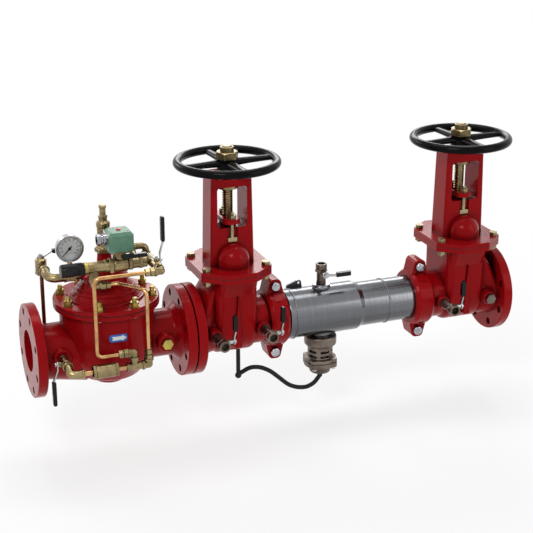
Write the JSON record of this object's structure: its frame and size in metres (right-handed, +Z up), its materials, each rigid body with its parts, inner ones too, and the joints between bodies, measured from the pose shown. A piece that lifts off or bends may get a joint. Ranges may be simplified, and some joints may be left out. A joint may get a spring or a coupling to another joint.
{
  "type": "reduced pressure backflow preventer",
  "caption": "Flanged pipeline assembly: pilot-operated control valve, outside-screw gate valves, a stainless check housing with relief valve, and test cocks.",
  "frame": {"origin": "centre of the inlet flange's face", "axes": "+X along the pipe in the direction of flow, +Z up, -Y towards the gauge and test cocks"},
  "size_m": [1.2758, 0.3005, 0.6773],
  "materials": {
    "red_casting": "gloss red enamel on cast iron",
    "black_wheel": "gloss black enamel",
    "brass": "cast and turned brass",
    "bronze_grey": "dull grey-brown bronze",
    "copper": "bent copper tube",
    "stainless": "brushed stainless",
    "zinc_yellow": "yellow zinc plated",
    "bolt_steel": "zinc plated steel",
    "chrome_bolt": "bright plated",
    "lever_steel": "plated lever with black vinyl grip",
    "black_rubber": "matte rubber",
    "black_plastic": "moulded plastic",
    "coil_green": "sage green epoxy",
    "gauge_steel": "polished case",
    "spring_steel": "spring steel",
    "inner_steel": "machined stainless"
  },
  "bodies": {
    "frame": {"control_valve_body": "red_casting", "main_seat_ring": "inner_steel", "control_valve_cover": "red_casting", "main_diaphragm": "black_rubber", "main_spring": "spring_steel", "indicator_housing": "brass", "cover_studs": "zinc_yellow", "gland_bolts": "bolt_steel", "stem_packings": "black_rubber", "flat_gaskets": "black_rubber", "bonnet_bolts": "bolt_steel", "coupling_1_halves": "red_casting", "coupling_2_halves": "red_casting", "coupling_gaskets": "black_rubber", "coupling_bolts": "chrome_bolt", "check_housing": "stainless", "check_seat_rings": "inner_steel", "relief_valve_body": "bronze_grey", "relief_valve_cover": "bronze_grey", "relief_diaphragm": "black_rubber", "relief_bolts": "inner_steel", "relief_spring": "spring_steel", "sensing_hose": "black_rubber", "sensing_fittings": "black_plastic", "test_cock_bodies": "bronze_grey", "brass_fittings": "brass", "copper_tubes": "copper", "solenoid_coil": "coil_green", "pressure_gauge": "gauge_steel", "gate_body_1": "red_casting", "gate_bonnet_1": "red_casting", "gland_follower_1": "red_casting", "gate_body_2": "red_casting", "gate_bonnet_2": "red_casting", "gland_follower_2": "red_casting"},
    "stem_assembly_1": {"gate_stem_1": "brass", "gate_wedge_1": "black_rubber"},
    "wheel_assembly_1": {"handwheel_1": "black_wheel", "yoke_sleeve_1": "brass", "wheel_nut_1": "brass"},
    "clapper_1": {"check_clapper_1": "inner_steel"},
    "stem_assembly_2": {"gate_stem_2": "brass", "gate_wedge_2": "black_rubber"},
    "wheel_assembly_2": {"handwheel_2": "black_wheel", "yoke_sleeve_2": "brass", "wheel_nut_2": "brass"},
    "clapper_2": {"check_clapper_2": "inner_steel"},
    "cock_lever_1": {"test_cock_lever_1": "lever_steel"},
    "cock_lever_2": {"test_cock_lever_2": "lever_steel"},
    "cock_lever_3": {"test_cock_lever_3": "lever_steel"},
    "cock_lever_4": {"test_cock_lever_4": "lever_steel"},
    "lever_supply": {"pilot_lever_supply": "lever_steel"},
    "lever_gauge": {"pilot_lever_gauge": "lever_steel"},
    "lever_pilot": {"pilot_lever_pilot": "lever_steel"},
    "lever_outlet": {"pilot_lever_outlet": "lever_steel"},
    "main_valve": {"main_valve_disc": "inner_steel", "main_valve_stem": "inner_steel"},
    "relief_plug": {"relief_disc": "inner_steel"},
    "adjusting_cap": {"pilot_cap": "black_plastic"},
    "pointer": {"gauge_pointer": "black_plastic"}
  },
  "joints": [
    {"name": "handwheel_turn_1", "type": "hinge", "parent": "frame", "child": "wheel_assembly_1", "pos_m": [0.5073, 0, 0.4175], "axis": [0, 0, 1], "range_deg": [0, 6480]},
    {"name": "stem_rise_1", "type": "slide", "parent": "frame", "child": "stem_assembly_1", "axis": [0, 0, 1], "range_m": [0, 0.108]},
    {"name": "handwheel_turn_2", "type": "hinge", "parent": "frame", "child": "wheel_assembly_2", "pos_m": [1.1443, 0, 0.4175], "axis": [0, 0, 1], "range_deg": [0, 6480]},
    {"name": "stem_rise_2", "type": "slide", "parent": "frame", "child": "stem_assembly_2", "axis": [0, 0, 1], "range_m": [0, 0.108]},
    {"name": "check_swing_1", "type": "hinge", "parent": "frame", "child": "clapper_1", "pos_m": [0.6791, 0, 0.0455], "axis": [0, -1, 0], "range_deg": [0, 60]},
    {"name": "check_swing_2", "type": "hinge", "parent": "frame", "child": "clapper_2", "pos_m": [0.8911, 0, 0.0455], "axis": [0, -1, 0], "range_deg": [0, 60]},
    {"name": "test_cock_turn_1", "type": "hinge", "parent": "frame", "child": "cock_lever_1", "pos_m": [0.4463, -0.122, 0], "axis": [1, 0, 0], "range_deg": [0, 90]},
    {"name": "test_cock_turn_2", "type": "hinge", "parent": "frame", "child": "cock_lever_2", "pos_m": [0.5753, -0.11, 0], "axis": [1, 0, 0], "range_deg": [0, 90]},
    {"name": "test_cock_turn_3", "type": "hinge", "parent": "frame", "child": "cock_lever_3", "pos_m": [0.759, 0, 0.103], "axis": [0, -1, 0], "range_deg": [0, 90]},
    {"name": "test_cock_turn_4", "type": "hinge", "parent": "frame", "child": "cock_lever_4", "pos_m": [1.0763, -0.11, 0], "axis": [1, 0, 0], "range_deg": [0, 90]},
    {"name": "supply_valve_turn", "type": "hinge", "parent": "frame", "child": "lever_supply", "pos_m": [0.066, -0.106, 0], "axis": [-1, 0, 0], "range_deg": [0, 90]},
    {"name": "gauge_valve_turn", "type": "hinge", "parent": "frame", "child": "lever_gauge", "pos_m": [0.06, 0.093, 0.181], "axis": [0, 0, 1], "range_deg": [0, 90]},
    {"name": "pilot_valve_turn", "type": "hinge", "parent": "frame", "child": "lever_pilot", "pos_m": [0.29, -0.116, 0.217], "axis": [0, 0, 1], "range_deg": [0, 90]},
    {"name": "outlet_valve_turn", "type": "hinge", "parent": "frame", "child": "lever_outlet", "pos_m": [0.29, -0.075, 0.217], "axis": [1, 0, 0], "range_deg": [0, 90]},
    {"name": "main_valve_lift", "type": "slide", "parent": "frame", "child": "main_valve", "axis": [0, 0, 1], "range_m": [0, 0.022], "deforming": ["main_spring", "main_diaphragm"]},
    {"name": "relief_lift", "type": "slide", "parent": "frame", "child": "relief_plug", "axis": [0, 0, -1], "range_m": [0, 0.008], "deforming": ["relief_spring", "relief_diaphragm"]},
    {"name": "adjusting_cap_turn", "type": "hinge", "parent": "frame", "child": "adjusting_cap", "pos_m": [0.071, -0.075, 0.217], "axis": [1, 0, 0], "range_deg": [0, 1080]},
    {"name": "gauge_pointer_turn", "type": "hinge", "parent": "frame", "child": "pointer", "pos_m": [0.113, 0.005, 0.243], "axis": [0, 1, 0], "range_deg": [0, 270]}
  ],
  "couplings": [
    {"joint": "stem_rise_1", "follows": "handwheel_turn_1", "m_per_rad": 0.00095493},
    {"joint": "stem_rise_2", "follows": "handwheel_turn_2", "m_per_rad": 0.00095493}
  ]
}
